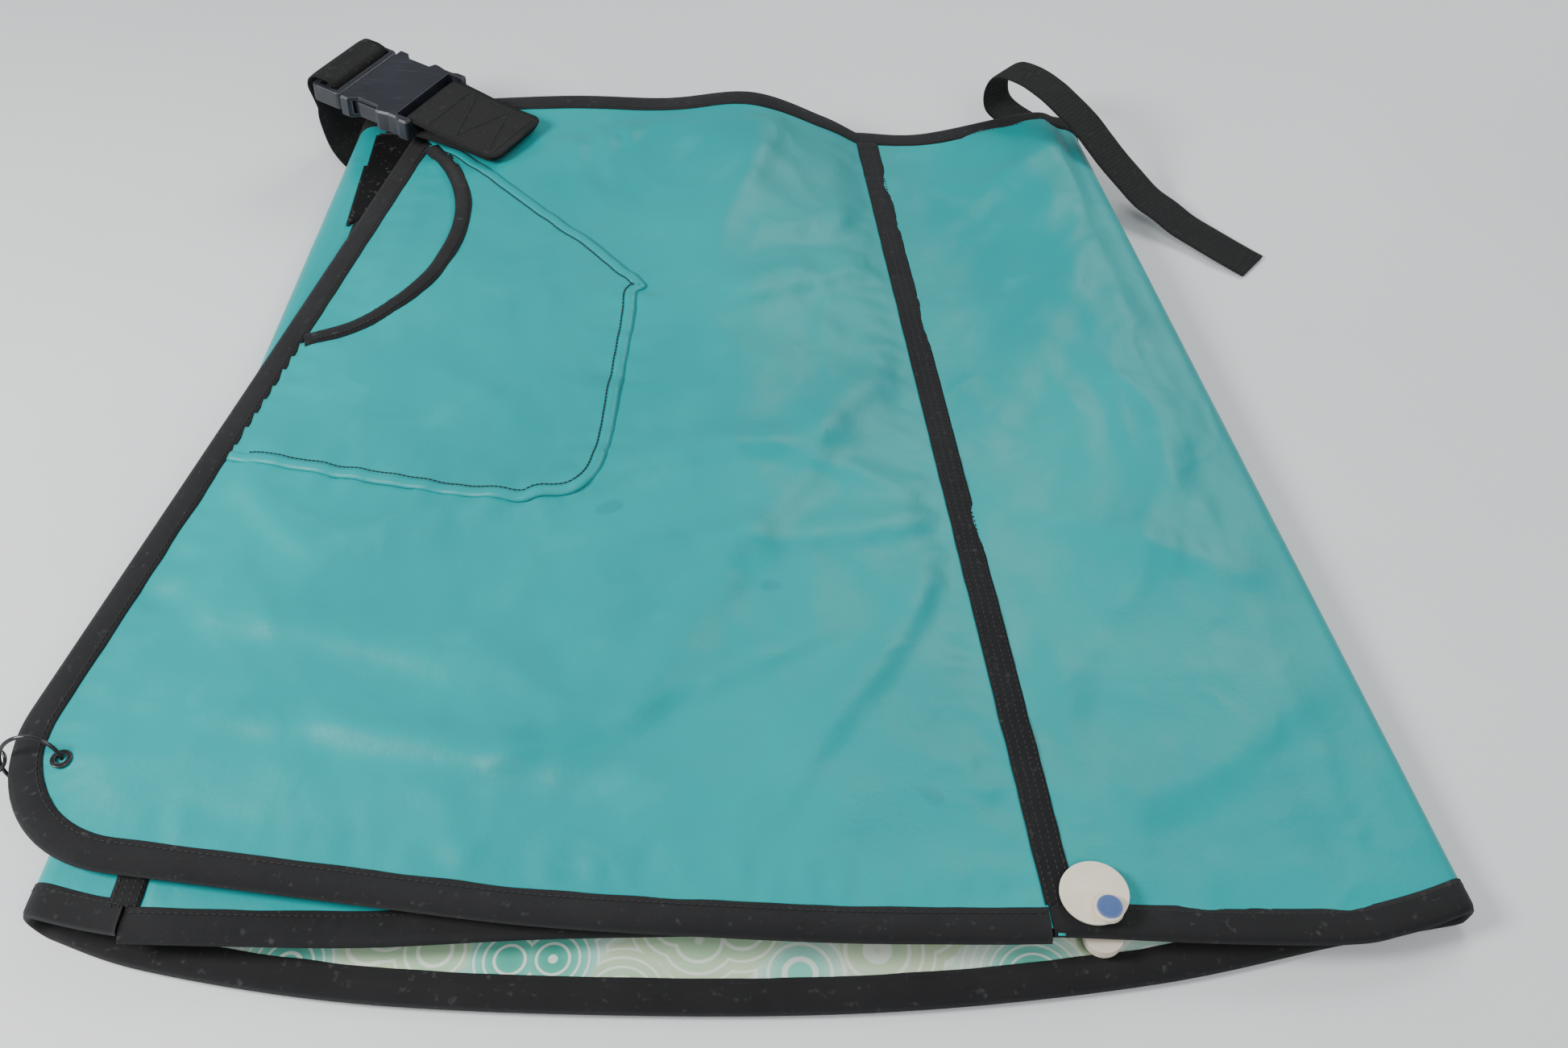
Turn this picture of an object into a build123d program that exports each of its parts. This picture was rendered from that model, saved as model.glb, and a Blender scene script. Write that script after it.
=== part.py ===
from build123d import *
import math
import os

# A wrap-around lead apron (skirt), laid on its back on a table with its two front flaps closed over each other.
# +X runs along the hem towards the wearer's left, +Y from the hem to the waist, +Z up from the table.
# The garment is a flattened tube: a back panel that wraps round both sides, an under flap sewn to it along the
# left seam, and an outer flap sewn to it along the right seam. Each panel is a nylon shell, two lead-vinyl sheets
# and a printed lining, bound with black tape. All sizes are in millimetres.

os.makedirs("parts", exist_ok=True)

# ---- driving dimensions ------------------------------------------------------------------------------------------

NEAR_Y, FAR_Y = -45.0, 575.0        # the two stations that every fabric layer is ruled between
WAIST_Y = 560.0                     # the waist edge of every panel
SHELL, CORE, LINING = 0.5, 1.2, 0.5  # layer thicknesses
PLY_GAP = 0.05                      # air between layers
TAPE = 0.6                          # binding tape thickness
TAPE_WIDTH = 15.0                   # binding seen on each side of an edge
TAPE_INSET = 0.75                   # how far a panel's cut edge lies inside the tape's fold
CORE_INSET = 12.0                   # how far the lead-vinyl stops inside the tape's fold
SEAM_GAP = 0.3                      # gap between panels that a seam band joins
BAND_WIDTH = 13.0

# The layers as depths below a panel's outer face.
SHELL_DEPTH = (0.0, SHELL)
OUTER_CORE_DEPTH = (SHELL + PLY_GAP, SHELL + PLY_GAP + CORE)
INNER_CORE_DEPTH = (OUTER_CORE_DEPTH[1] + PLY_GAP, OUTER_CORE_DEPTH[1] + PLY_GAP + CORE)
LINING_DEPTH = (INNER_CORE_DEPTH[1] + PLY_GAP, INNER_CORE_DEPTH[1] + PLY_GAP + LINING)
PANEL = LINING_DEPTH[1]
TAPE_DEPTH = (-PLY_GAP - TAPE, PANEL + PLY_GAP + TAPE)
TAPE_HOLLOW = (-PLY_GAP, PANEL + PLY_GAP)

# Each pair is the value at the near station and at the far station.
BASE_Z = (0.7, 3.1)                 # underside of the back shell
LEFT_X, LEFT_R = (-297.0, -256.0), (9.0, 14.0)      # left fold: outermost x and radius
RIGHT_X, RIGHT_R = (304.0, 196.0), (6.5, 13.0)      # right fold
SEAM_RIGHT = (124.5, 57.5)          # seam between the outer flap and the back panel
SEAM_LEFT = (-253.0, -229.0)        # seam between the under flap and the back panel

# Top faces of the front layers, as (x, z) from one side to the other, at the near and the far station.
RIGHT_WRAP = (
    [(230.0, 15.2), (180.0, 17.6)],
    [(166.0, 32.0), (100.0, 16.0)],
)
SEAM_TOP = (21.5, 17.0)
FLAP_TOP = (
    [(60.0, 23.5), (-20.0, 24.5), (-110.0, 25.0), (-190.0, 25.2), (-335.0, 24.8)],
    [(36.0, 30.0), (-7.0, 47.5), (-60.0, 43.0), (-126.0, 44.5), (-240.0, 38.5)],
)
UNDER_TOP = (
    [(-160.0, 17.4), (-60.0, 16.0), (40.0, 14.4), (120.0, 11.8), (190.0, 10.8)],
    [(-170.0, 33.0), (-90.0, 34.0), (-20.0, 33.5), (30.0, 15.5), (62.0, 11.4)],
)

# Hem curves in plan, left to right.
BACK_HEM = [(-340, 14), (-296, 6), (-243, -11), (-154, -25), (-40, -30), (60, -28), (159, -17), (240, 0), (296, 10),
            (340, 20)]
FRONT_HEM = [(-340, 20), (-296, 6), (-241, -5), (-160, -8), (-40, -4), (40, -8), (125, -5), (228, -6), (262, -1),
             (296, 10), (340, 24)]

FLAP_WAIST_EDGE, FLAP_CORNER = (-206.4, WAIST_Y), (-332.0, 30.0)
FLAP_HEM = [(-241.0, 17.5), (-150.0, 5.0), (-74.0, -4.0), (22.0, -9.0), (85.0, -9.0)]
FLAP_CORNER_R = 64.0
UNDER_WAIST_EDGE, UNDER_CORNER = (40.0, WAIST_Y), (180.0, 14.0)
UNDER_HEM = [(96.0, 5.5), (20.0, -1.0), (-80.0, -4.0), (-150.0, -8.0), (-200.0, -8.0)]

# Pocket on the outer flap.
POCKET = [(-206.0, 522.0), (-76.0, 391.0), (-69.0, 366.0), (-79.0, 232.0), (-104.0, 217.0), (-136.0, 218.0),
          (-290.0, 254.0)]
POCKET_CORNER_R = 14.0
MOUTH = [(-214.0, 517.0), (-186.0, 475.0), (-177.0, 432.0), (-189.0, 380.0), (-222.0, 346.0), (-262.0, 333.0)]
MOUTH_TAPE = 8.0
MOUTH_CENTRE = (-275.0, 425.0)

# Hardware.
EYELET_AT, EYELET_BORE, EYELET_FLANGE_R = (-293.0, 72.0), 2.4, 4.6
RING_R, RING_WIRE_R = 13.5, 0.9
LINK_R, LINK_WIRE_R = 6.0, 0.8
RING_LEAN = 18.0                    # degrees that the ring leans from upright, towards the waist
PIN_AT, PIN_R = (142.0, 4.0), 1.5
TAG_R, TAG_THICK, TAG_CENTRE = 14.0, 1.5, (-4.5, 8.0)   # the disc and its centre from the pin

WEBBING, WEBBING_THICK = 50.0, 1.8
BELT_THICK = 1.9
BUCKLE_AT = (-222.0, 543.0, 54.6)
BUCKLE_TURN, BUCKLE_PITCH = 29.0, 4.0
SOCKET_LENGTH, SOCKET_WIDTH, SOCKET_THICK = 50.0, 60.0, 14.0
STRAP_WIDTH, STRAP_THICK = 25.0, 1.5
STRAP_FROM, STRAP_DIRECTION = (165.0, 566.0), (0.72, -0.694)


# ---- helpers -----------------------------------------------------------------------------------------------------

def along(pair, y):
    """A value that changes evenly from the near station to the far one, at y."""
    return pair[0] + (pair[1] - pair[0]) * (y - NEAR_Y) / (FAR_Y - NEAR_Y)


def station(edges):
    """A closed section from edges drawn as (x, z)."""
    return Wire(edges)


def points_at(index, points):
    """Section points (x, z) as points in space at the near or far station."""
    y = (NEAR_Y, FAR_Y)[index]
    return [Vector(x, y, z) for x, z in points]


def ruled(section, depth):
    """The solid ruled between a section at the near station and the same section at the far one."""
    return Solid.make_loft([section(0, *depth), section(1, *depth)], True)


def back_section(index, outer, inner):
    """The back panel's open loop: left wrap, left fold, back, right fold, right wrap."""
    base, left_r, right_r = BASE_Z[index], LEFT_R[index], RIGHT_R[index]
    left, right = LEFT_X[index], RIGHT_X[index]
    left_end = SEAM_LEFT[index] - SEAM_GAP / 2
    right_end = SEAM_RIGHT[index] + SEAM_GAP / 2

    def loop(depth):
        top_left, top_right = base + 2 * left_r - depth, base + 2 * right_r - depth
        wrap = [(x, z - depth) for x, z in RIGHT_WRAP[index]]
        corner = points_at(index, [(left_end, top_left), (left + left_r, top_left), (left + depth, base + left_r),
                                   (left + left_r, base + depth), (right - right_r, base + depth),
                                   (right - depth, base + right_r), (right - right_r, top_right)])
        front = points_at(index, wrap + [(right_end, SEAM_TOP[index] - depth)])
        return [
            Edge.make_line(corner[0], corner[1]),
            Edge.make_three_point_arc(corner[1], corner[2], corner[3]),
            Edge.make_line(corner[3], corner[4]),
            Edge.make_three_point_arc(corner[4], corner[5], corner[6]),
            Edge.make_spline([corner[6], *front]),
        ]

    outside, inside = loop(outer), loop(inner)
    ends = [
        Edge.make_line(outside[0].position_at(0), inside[0].position_at(0)),
        Edge.make_line(outside[-1].position_at(1), inside[-1].position_at(1)),
    ]
    return station(outside + inside + ends)


def front_section(start, tops):
    """A section function for a front layer that starts at the point start(index) and runs through tops."""
    def section(index, outer, inner):
        line = [start(index), *tops[index]]
        top = points_at(index, [(x, z - outer) for x, z in line])
        under = points_at(index, [(x, z - inner) for x, z in line])
        return station([
            Edge.make_spline(top),
            Edge.make_line(top[-1], under[-1]),
            Edge.make_spline(under),
            Edge.make_line(under[0], top[0]),
        ])
    return section


flap_section = front_section(lambda i: (SEAM_RIGHT[i] - SEAM_GAP / 2, SEAM_TOP[i]), FLAP_TOP)
under_section = front_section(
    lambda i: (SEAM_LEFT[i] + SEAM_GAP / 2, BASE_Z[i] + 2 * LEFT_R[i]), UNDER_TOP)


def prism(face, low=-5.0, high=120.0):
    """A plan outline as an upright prism."""
    return extrude(Pos(0, 0, low) * face, amount=high - low, dir=(0, 0, 1))


def hem_region(hem, shift=0.0, far=WAIST_Y):
    """The plan region from a hem curve, moved in by shift, to the waist."""
    curve = Edge.make_spline([Vector(x, y + shift) for x, y in hem])
    first, last = curve.position_at(0), curve.position_at(1)
    corners = [last, Vector(last.X, far), Vector(first.X, far), first]
    return Face(Wire([curve, *[Edge.make_line(a, b) for a, b in zip(corners, corners[1:])]]))


def crossing(p, along_p, q, along_q):
    """Where the plan line through p meets the one through q."""
    turn = along_p.X * along_q.Y - along_p.Y * along_q.X
    reach = ((q.X - p.X) * along_q.Y - (q.Y - p.Y) * along_q.X) / turn
    return p + along_p * reach


def flap_region(flap, inset=0.0):
    """A flap's plan outline, moved in by inset everywhere except at its seam."""
    seam, waist_edge, corner, hem, radius = flap
    edge_way = (Vector(*waist_edge) - Vector(*corner)).normalized()
    hem_way = (Vector(*hem[0]) - Vector(*corner)).normalized()
    inward = edge_way.rotate(Axis.Z, math.copysign(90, -hem_way.X))
    edge_point = Vector(*waist_edge) + inward * inset
    tip = crossing(edge_point, edge_way, Vector(hem[0][0], hem[0][1] + inset), hem_way)
    top = WAIST_Y - inset
    edge_top = crossing(edge_point, edge_way, Vector(0, top), Vector(1, 0))
    seam_top = Vector(along(seam, top), top)
    seam_foot = Vector(along(seam, hem[-1][1] + inset), hem[-1][1] + 1.0 + inset)
    cut = (radius - inset) * math.tan((math.pi - math.radians(edge_way.get_angle(hem_way))) / 2)
    edge_end, hem_end = tip + edge_way * cut, tip + hem_way * cut
    bow = (edge_end + hem_end) / 2 - tip
    centre = tip + bow.normalized() * math.hypot(cut, radius - inset)
    middle = centre - bow.normalized() * (radius - inset)
    curve = Edge.make_spline([Vector(x, y + inset) for x, y in hem] + [seam_foot])
    return Face(Wire([
        Edge.make_line(seam_foot, seam_top),
        Edge.make_line(seam_top, edge_top),
        Edge.make_line(edge_top, edge_end),
        Edge.make_three_point_arc(edge_end, middle, hem_end),
        Edge.make_line(hem_end, Vector(hem[0][0], hem[0][1] + inset)),
        curve,
    ]))


def post(at, radius, low=-5.0, high=80.0):
    """An upright cylinder between two heights."""
    return Pos(at[0], at[1], (low + high) / 2) * Cylinder(radius, high - low)


def seam_strip(pair, first, last, near=-60.0, far=WAIST_Y):
    """The plan strip from first to last beside a seam."""
    ends = [(along(pair, near) + first, near), (along(pair, near) + last, near),
            (along(pair, far) + last, far), (along(pair, far) + first, far)]
    return make_face(Polyline(*ends, close=True))


def ribbon(path, thickness, width, plane):
    """Webbing whose edge follows path, drawn in plane, centred on it."""
    strip = trace(path, line_width=thickness)
    return extrude(plane * strip, amount=width / 2, both=True)


NODES = {}


def node(name, shape):
    """Keeps a finished sub-part under the name that its file gets."""
    NODES[name] = shape


# ---- back panel --------------------------------------------------------------------------------------------------

FOLD_Z = 6.0                        # below this the back's hem curve applies, above it the front's
pin_hole = post(PIN_AT, PIN_R + 0.1)


def back_keep(shift):
    """What stays of a layer of the back panel: its own hem below, the front's hem above."""
    return (prism(hem_region(BACK_HEM, shift), high=FOLD_Z)
            + prism(hem_region(FRONT_HEM, shift), low=FOLD_Z))


def back_layer(depth, shift):
    return ruled(back_section, depth) & back_keep(shift)


node("back_shell", back_layer(SHELL_DEPTH, TAPE_INSET) - pin_hole)
waist_cut = Pos(0, WAIST_Y, 50) * Box(900, 2 * TAPE_INSET, 200)
core_cut = Pos(0, WAIST_Y, 50) * Box(900, 2 * CORE_INSET, 200)
NODES["back_shell"] -= waist_cut
node("back_outer_lead_sheet", back_layer(OUTER_CORE_DEPTH, CORE_INSET) - pin_hole - core_cut)
node("back_inner_lead_sheet", back_layer(INNER_CORE_DEPTH, CORE_INSET) - pin_hole - core_cut)
node("back_lining", back_layer(LINING_DEPTH, TAPE_INSET) - pin_hole - waist_cut)

tape_loop = ruled(back_section, TAPE_DEPTH)
tape_hollow = ruled(back_section, TAPE_HOLLOW) & back_keep(TAPE_INSET) - waist_cut
hem_strip = (prism(hem_region(BACK_HEM) - hem_region(BACK_HEM, TAPE_WIDTH), high=FOLD_Z)
             + prism(hem_region(FRONT_HEM) - hem_region(FRONT_HEM, TAPE_WIDTH), low=FOLD_Z))
waist_strip = Pos(0, WAIST_Y - TAPE_WIDTH / 2, 50) * Box(900, TAPE_WIDTH, 200)
node("back_hem_binding", (tape_loop & hem_strip) - tape_hollow - pin_hole)
node("back_waist_binding", (tape_loop & waist_strip) - tape_hollow)

# ---- under flap --------------------------------------------------------------------------------------------------

UNDER_FLAP = (SEAM_LEFT, UNDER_WAIST_EDGE, UNDER_CORNER, UNDER_HEM, FLAP_CORNER_R)


def flap_layer(section, depth, flap, edge):
    """A flap's layer, cut edge in from the flap's outline except at its seam."""
    return ruled(section, depth) & prism(flap_region(flap, edge))


def flap_tapes(section, flap):
    """A flap's two tapes: one along its edge, corner and hem, and one along its waist."""
    tape = ruled(section, TAPE_DEPTH) & prism(flap_region(flap)) - flap_layer(section, TAPE_HOLLOW, flap, TAPE_INSET)
    tape = tape - prism(flap_region(flap, TAPE_WIDTH))
    way = (Vector(*flap[1]) - Vector(*flap[2])).normalized()
    mitre = crossing(Vector(*flap[1]), way, Vector(0, WAIST_Y - TAPE_WIDTH), Vector(1, 0))
    past = mitre.X + math.copysign(TAPE_WIDTH, flap[0][0] - flap[1][0])
    seam_x = math.copysign(400, flap[0][0] - flap[1][0])
    waist = Pos((past + seam_x) / 2, WAIST_Y, 50) * Box(abs(seam_x - past), 2 * TAPE_WIDTH, 200)
    return tape - waist, tape & waist


for name, depth, edge in (("shell", SHELL_DEPTH, TAPE_INSET), ("outer_lead_sheet", OUTER_CORE_DEPTH, CORE_INSET),
                          ("inner_lead_sheet", INNER_CORE_DEPTH, CORE_INSET), ("lining", LINING_DEPTH, TAPE_INSET)):
    node("under_flap_" + name, flap_layer(under_section, depth, UNDER_FLAP, edge))
under_edge_tape, under_waist_tape = flap_tapes(under_section, UNDER_FLAP)
node("under_flap_edge_binding", under_edge_tape)
node("under_flap_waist_binding", under_waist_tape)

# ---- outer flap --------------------------------------------------------------------------------------------------

OUTER_FLAP = (SEAM_RIGHT, FLAP_WAIST_EDGE, FLAP_CORNER, FLAP_HEM, FLAP_CORNER_R)
eyelet_hole = post(EYELET_AT, EYELET_BORE + 0.45)

for name, depth, edge in (("shell", SHELL_DEPTH, TAPE_INSET), ("outer_lead_sheet", OUTER_CORE_DEPTH, CORE_INSET),
                          ("inner_lead_sheet", INNER_CORE_DEPTH, CORE_INSET), ("lining", LINING_DEPTH, TAPE_INSET)):
    node("outer_flap_" + name, flap_layer(flap_section, depth, OUTER_FLAP, edge) - eyelet_hole)
flap_edge_tape, flap_waist_tape = flap_tapes(flap_section, OUTER_FLAP)
node("outer_flap_edge_binding", flap_edge_tape - eyelet_hole)
node("outer_flap_waist_binding", flap_waist_tape)

# ---- seam bands --------------------------------------------------------------------------------------------------

BAND_DEPTH = (-PLY_GAP - TAPE, -PLY_GAP)
band_near, band_far = 16.0, WAIST_Y - TAPE_WIDTH - 0.5
band_length = prism(Pos(0, (band_near + band_far) / 2) * Rectangle(1200, band_far - band_near))
wrap_only = prism(Pos(200, 250) * Rectangle(390, 800), low=10.0)
node("right_seam_band",
     ruled(back_section, BAND_DEPTH) & prism(seam_strip(SEAM_RIGHT, 0.2, BAND_WIDTH)) & band_length & wrap_only)
left_half = (ruled(back_section, BAND_DEPTH) & prism(seam_strip(SEAM_LEFT, -BAND_WIDTH / 2, 0.0), low=10.0)
             & band_length)
right_half = (ruled(under_section, BAND_DEPTH) & prism(seam_strip(SEAM_LEFT, SEAM_GAP / 2, BAND_WIDTH / 2))
              & band_length)
node("left_seam_band", left_half + right_half)

# ---- pocket ------------------------------------------------------------------------------------------------------

pocket_face = make_face(Polyline(*POCKET, close=True))
pocket_face = fillet([pocket_face.vertices().sort_by_distance(Vector(*p))[0] for p in (POCKET[1], POCKET[3])],
                     POCKET_CORNER_R)


def mouth_region(grow):
    """The plan region on the open side of the pocket's mouth, with the mouth's curve moved out by grow."""
    rays = [(Vector(*p), (Vector(*p) - Vector(*MOUTH_CENTRE)).normalized()) for p in MOUTH]
    curve = Edge.make_spline([p + ray * grow for p, ray in rays])
    shut = [curve.position_at(1), Vector(-400, 300), Vector(-400, 620), curve.position_at(0)]
    return Face(Wire([curve, *[Edge.make_line(a, b) for a, b in zip(shut, shut[1:])]]))


pocket_zone = prism(pocket_face) & prism(flap_region(OUTER_FLAP, TAPE_WIDTH + 0.3))
POCKET_DEPTH = (-PLY_GAP - SHELL, -PLY_GAP)
MOUTH_DEPTH = (-2 * PLY_GAP - SHELL - TAPE, -2 * PLY_GAP - SHELL)
node("pocket_patch", (ruled(flap_section, POCKET_DEPTH) & pocket_zone) - prism(mouth_region(0)))
node("pocket_mouth_binding", (ruled(flap_section, MOUTH_DEPTH) & pocket_zone & prism(mouth_region(MOUTH_TAPE)))
     - prism(mouth_region(0)))


def top_of_flap(x, y):
    """Height of the outer flap's top face at a plan point."""
    probe = ruled(flap_section, SHELL_DEPTH) & (Pos(x, y, 60) * Box(0.2, 0.2, 120))
    return probe.bounding_box().max.Z


# ---- eyelet and rings on the corner ------------------------------------------------------------------------------

corner_z = top_of_flap(*EYELET_AT) - PANEL / 2
half_stack = PANEL / 2 + PLY_GAP + TAPE + 0.1
barrel = Cylinder(EYELET_BORE + 0.4, 2 * half_stack + 1.0) - Cylinder(EYELET_BORE, 20)
flange = Cylinder(EYELET_FLANGE_R, 0.7) - Cylinder(EYELET_BORE, 20)
flange = fillet(flange.edges().group_by(Axis.Z)[-1].sort_by(SortBy.LENGTH)[-1:], 0.4)
eyelet = barrel + Pos(0, 0, half_stack + 0.45) * flange + Pos(0, 0, -half_stack - 0.45) * Rot(180, 0, 0) * flange
node("corner_eyelet", Pos(EYELET_AT[0], EYELET_AT[1], corner_z) * eyelet)

ring_centre = (EYELET_AT[0] - RING_R, EYELET_AT[1], corner_z)
upright_ring = Rot(90, 0, 0) * Torus(RING_R, RING_WIRE_R)
node("corner_ring", Pos(*ring_centre) * Rot(-RING_LEAN, 0, 0) * upright_ring)
link_centre = (ring_centre[0] - RING_R - 4.0, EYELET_AT[1], corner_z)
node("link_ring", Pos(*link_centre) * Rot(12, 0, 0) * Torus(LINK_R, LINK_WIRE_R))

# ---- asset tag pinned through the hem ----------------------------------------------------------------------------

DISC_Z, DOME_TOP, DOME_LOW, DOME_R = 23.0, 14.2, 6.4, 8.0
disc = Pos(TAG_CENTRE[0], TAG_CENTRE[1], TAG_THICK / 2) * Cylinder(TAG_R, TAG_THICK)
disc = fillet(disc.edges().filter_by(GeomType.CIRCLE), 0.4) - Cylinder(PIN_R + 0.08, 20)
node("tag_disc", Pos(PIN_AT[0], PIN_AT[1], DISC_Z) * disc)
head_low = DISC_Z + TAG_THICK + 0.15
head = Pos(0, 0, head_low + 1.3) * Cylinder(6.0, 2.6)
head = fillet(head.edges().group_by(Axis.Z)[-1], 0.6)
shank = post((0, 0), PIN_R, DOME_TOP - 3.0, head_low + 1.0)
node("tag_pin", Pos(PIN_AT[0], PIN_AT[1]) * (head + shank))
cap = Pos(0, 0, head_low + 2.6 + 0.02 + 0.3) * Cylinder(5.1, 0.6)
node("tag_pin_cap", Pos(PIN_AT[0], PIN_AT[1]) * fillet(cap.edges().group_by(Axis.Z)[-1], 0.25))
dome = Pos(-1.0, -5.0, (DOME_TOP + DOME_LOW) / 2) * Cylinder(DOME_R, DOME_TOP - DOME_LOW)
dome = fillet(dome.edges().group_by(Axis.Z)[0], 4.0) - post((0, 0), PIN_R + 0.02, DOME_TOP - 3.02, 40)
node("tag_back", Pos(PIN_AT[0], PIN_AT[1]) * dome)

# ---- buckle ------------------------------------------------------------------------------------------------------

turn, pitch = math.radians(BUCKLE_TURN), math.radians(BUCKLE_PITCH)
buckle_x = Vector(-math.cos(turn) * math.cos(pitch), math.sin(turn) * math.cos(pitch), math.sin(pitch))
buckle_z = Vector(math.cos(turn) * math.sin(pitch), -math.sin(turn) * math.sin(pitch), math.cos(pitch))
buckle = Location(Plane(origin=BUCKLE_AT, x_dir=buckle_x, z_dir=buckle_z))

MOUTH_X, CAVITY_END = SOCKET_LENGTH / 2, -12.0
CAVITY_HALF_W, CAVITY_HALF_T = 27.6, 4.6
ARM_OUT, ARM_IN, ARM_HALF_T, ARM_ROOT_X, ARM_TIP_X = 26.6, 22.0, 4.2, 25.7, -8.0
FRAME_X, FRAME_END, FRAME_HALF_W, FRAME_HALF_T = 26.0, 48.5, 28.5, 6.0
TONGUE_HALF_W, TONGUE_TIP_X = 11.0, -10.0
BAR_HALF_T, BAR_WRAP_X, BAR_WRAP_R = 3.2, -23.75, 4.9

half = SOCKET_WIDTH / 2
socket_side = [(MOUTH_X, half), (-5, half), (-11, 28.6), (-17, 28.6), (-20, half), (-26, half)]
socket_plan = make_face(Polyline(*socket_side, *[(x, -y) for x, y in reversed(socket_side)], close=True))
socket = extrude(socket_plan, amount=SOCKET_THICK / 2, both=True)
socket = fillet(socket.edges().filter_by(Axis.Z), 1.5)
socket = chamfer(socket.edges().group_by(Axis.Z)[-1] + socket.edges().group_by(Axis.Z)[0], 1.0)
socket -= Pos((MOUTH_X + CAVITY_END) / 2 + 1, 0) * Box(MOUTH_X - CAVITY_END + 2, 2 * CAVITY_HALF_W, 2 * CAVITY_HALF_T)
notch = [(19.0, half + 2), (19.0, half - 0.5), (14.0, 25.0), (-1.0, 25.0), (-3.0, half - 0.5), (-3.0, half + 2)]
notch_tool = extrude(make_face(Polyline(*notch, close=True)), amount=SOCKET_THICK, both=True)
socket = socket - notch_tool - mirror(notch_tool, Plane.XZ)
socket -= Pos(-18.5, 0) * Box(6.0, 51.2, 40)
above_bar = Pos(-24.5, 0, BAR_HALF_T + 10) * Box(7.0, 51.2, 20)
socket = socket - above_bar - mirror(above_bar, Plane.XY)
node("buckle_socket", buckle * socket)

frame_block = Pos((FRAME_X + FRAME_END) / 2, 0) * Box(FRAME_END - FRAME_X, 2 * FRAME_HALF_W, 2 * FRAME_HALF_T)
frame_block = fillet(frame_block.edges().filter_by(Axis.Z), 4.0)
frame_block = fillet(frame_block.edges().group_by(Axis.Z)[-1] + frame_block.edges().group_by(Axis.Z)[0], 1.5)
slots = Pos(32.6, 0) * Box(5.2, 51.4, 40) + Pos(41.6, 0) * Box(5.6, 51.4, 40)
tongue = Pos((FRAME_X + 1 + TONGUE_TIP_X) / 2, 0) * Box(FRAME_X + 1 - TONGUE_TIP_X, 2 * TONGUE_HALF_W, 2 * ARM_HALF_T)
tongue = fillet(tongue.edges().filter_by(Axis.Z), 2.0)
lighten = Pos(8.0, 0) * Box(24.0, 2 * TONGUE_HALF_W - 7.0, 40)
node("latch_frame", buckle * (frame_block - slots + (tongue - lighten)))

arm_plan = [(ARM_ROOT_X, ARM_OUT), (ARM_ROOT_X, ARM_IN), (2.0, ARM_IN - 1.0), (ARM_TIP_X, ARM_IN),
            (ARM_TIP_X, ARM_OUT - 3.0), (-4.0, ARM_OUT), (13.0, ARM_OUT), (17.0, ARM_OUT - 1.6)]
arm = extrude(make_face(Polyline(*arm_plan, close=True)), amount=ARM_HALF_T, both=True)
arm = fillet(arm.edges().group_by(Axis.Z)[-1] + arm.edges().group_by(Axis.Z)[0], 0.8)
node("latch_arm_a", buckle * arm)
node("latch_arm_b", buckle * mirror(arm, Plane.XZ))

# ---- webbing -----------------------------------------------------------------------------------------------------

side_plane = Plane(origin=BUCKLE_AT, x_dir=buckle_x, z_dir=buckle_x.cross(buckle_z))
tab_near, tab_far = (BAR_WRAP_X, BAR_WRAP_R), (BAR_WRAP_X, -BAR_WRAP_R)
tab_sewn_top = Line((-86, 1.3), (-60, 1.3))
tab_top = Spline((-60, 1.3), (-40, 3.2), tab_near, tangents=((1, 0), (1, 0)))
tab_over = ThreePointArc(tab_near, (BAR_WRAP_X + BAR_WRAP_R, 0.0), tab_far)
tab_back = Spline(tab_far, (-40, -3.0), (-60, -0.7), tangents=((-1, 0), (-1, 0)))
tab_sewn_back = Line((-60, -0.7), (-86, -0.7))
tab = ribbon([tab_sewn_top, tab_top, tab_over, tab_back, tab_sewn_back], WEBBING_THICK, WEBBING, side_plane)
node("buckle_tab", tab)

loop_path = [Line((32.6, -7.5), (32.6, 5.0)), Spline((32.6, 5.0), (36.0, 8.6), (45.0, 8.8),
                                                    tangents=((0, 1), (1, 0))),
             ThreePointArc((45.0, 8.8), (53.8, 0.0), (45.0, -8.8))]
node("hip_belt_loop", ribbon(loop_path, BELT_THICK, WEBBING, side_plane))

BELT_Z = BELT_THICK / 2
drop_plane = Plane(origin=(BUCKLE_AT[0], BUCKLE_AT[1], 0), x_dir=(-math.cos(turn), math.sin(turn), 0),
                   z_dir=(math.sin(turn), math.cos(turn), 0))
if drop_plane.y_dir.Z < 0:
    drop_plane = Plane(origin=drop_plane.origin, x_dir=drop_plane.x_dir, z_dir=-drop_plane.z_dir)
drop_path = [Spline((49.5, 44.4), (50.5, 31.0), (45.5, 12.5), (32.0, BELT_Z), tangents=((0.1, -1), (-1, 0))),
             Line((32.0, BELT_Z), (-72.0, BELT_Z))]
node("hip_belt", ribbon(drop_path, BELT_THICK, WEBBING, drop_plane))

strap_x = Vector(*STRAP_DIRECTION, 0).normalized()
strap_plane = Plane(origin=(*STRAP_FROM, 0), x_dir=strap_x, z_dir=strap_x.cross(Vector(0, 0, 1)))
strap_path = [
    Line((13, 21.5), (-4, 22.0)),
    Spline((-4, 22.0), (-20.5, 38.5), (-4, 55.0), tangents=((-1, 0.03), (1, 0))),
    Spline((-4, 55.0), (24, 52.5), (48, 41.0), (72, 26.0), (98, 12.0), (130, 5.0), (180, STRAP_THICK / 2 + 0.1),
           tangents=((1, 0), (1, -0.05))),
]
node("waist_strap", ribbon(strap_path, STRAP_THICK, STRAP_WIDTH, strap_plane))

# ---- write -------------------------------------------------------------------------------------------------------

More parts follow.
